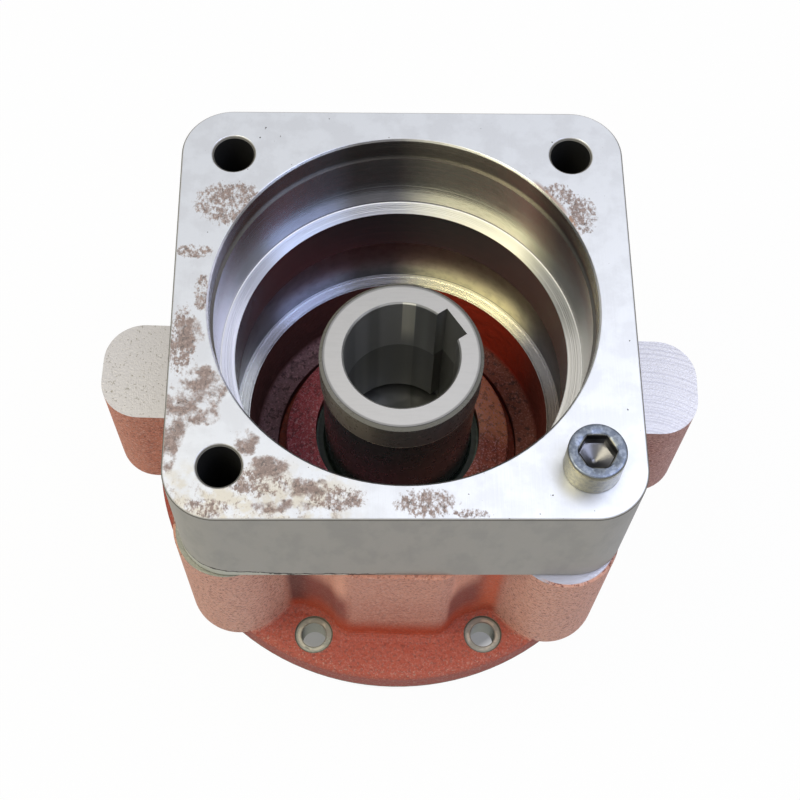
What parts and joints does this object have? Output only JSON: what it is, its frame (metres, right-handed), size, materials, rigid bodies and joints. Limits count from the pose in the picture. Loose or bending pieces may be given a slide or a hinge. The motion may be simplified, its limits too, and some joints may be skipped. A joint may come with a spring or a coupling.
{
  "type": "hydraulic motor drive housing",
  "caption": "Bearing housing for an orbital hydraulic motor: square motor flange with register on a red cast body with round mounting flange, over a keyed hollow shaft.",
  "frame": {"origin": "on the shaft's axis, in the plane of the round mounting flange's seat", "axes": "+Z along the shaft towards the motor; X and Y along the sides of the square motor flange, with the ears at +X and -X"},
  "size_m": [0.209, 0.184, 0.2084],
  "materials": {
    "machined_iron": "milled and turned bare metal, satin, with light brown rust stains",
    "black_oxide": "black oxide, semi-gloss",
    "seal_rubber": "matt dark rubber",
    "red_casting": "brick red primer over rough cast iron, machined faces and bores bare",
    "ground_steel": "turned and ground bare steel",
    "cover_iron": "machined iron painted with the housing",
    "shim_steel": "bright strip",
    "seal_case": "dark green lacquered pressing",
    "spring_steel": "bright wire",
    "bearing_steel": "hardened and ground",
    "cage_steel": "pressed sheet",
    "roller_steel": "polished"
  },
  "bodies": {
    "housing": {"motor_flange": "machined_iron", "motor_screw": "black_oxide", "flange_o_ring": "seal_rubber", "housing": "red_casting", "end_cover": "cover_iron", "end_cover_o_ring": "seal_rubber", "end_cover_shims": "shim_steel", "end_cover_screws": "black_oxide", "input_seal_case": "seal_case", "input_seal_lip": "seal_rubber", "input_seal_spring": "spring_steel", "output_seal_case": "seal_case", "output_seal_lip": "seal_rubber", "output_seal_spring": "spring_steel", "upper_bearing_cup": "bearing_steel", "lower_bearing_cup": "bearing_steel"},
    "shaft": {"drive_shaft": "ground_steel", "upper_bearing_cone": "bearing_steel", "lower_bearing_cone": "bearing_steel"},
    "upper_cage": {"upper_bearing_cage": "cage_steel", "upper_bearing_rollers": "roller_steel"},
    "lower_cage": {"lower_bearing_cage": "cage_steel", "lower_bearing_rollers": "roller_steel"}
  },
  "joints": [
    {"name": "shaft_spin", "type": "hinge", "parent": "housing", "child": "shaft", "pos_m": [0, 0, 0], "axis": [0, 0, 1], "continuous": true},
    {"name": "upper_cage_spin", "type": "hinge", "parent": "housing", "child": "upper_cage", "pos_m": [0, 0, -0.0068], "axis": [0, 0, 1], "continuous": true},
    {"name": "lower_cage_spin", "type": "hinge", "parent": "housing", "child": "lower_cage", "pos_m": [0, 0, -0.0392], "axis": [0, 0, 1], "continuous": true}
  ],
  "couplings": [
    {"joint": "upper_cage_spin", "follows": "shaft_spin", "ratio": 0.4425},
    {"joint": "lower_cage_spin", "follows": "shaft_spin", "ratio": 0.4425}
  ]
}
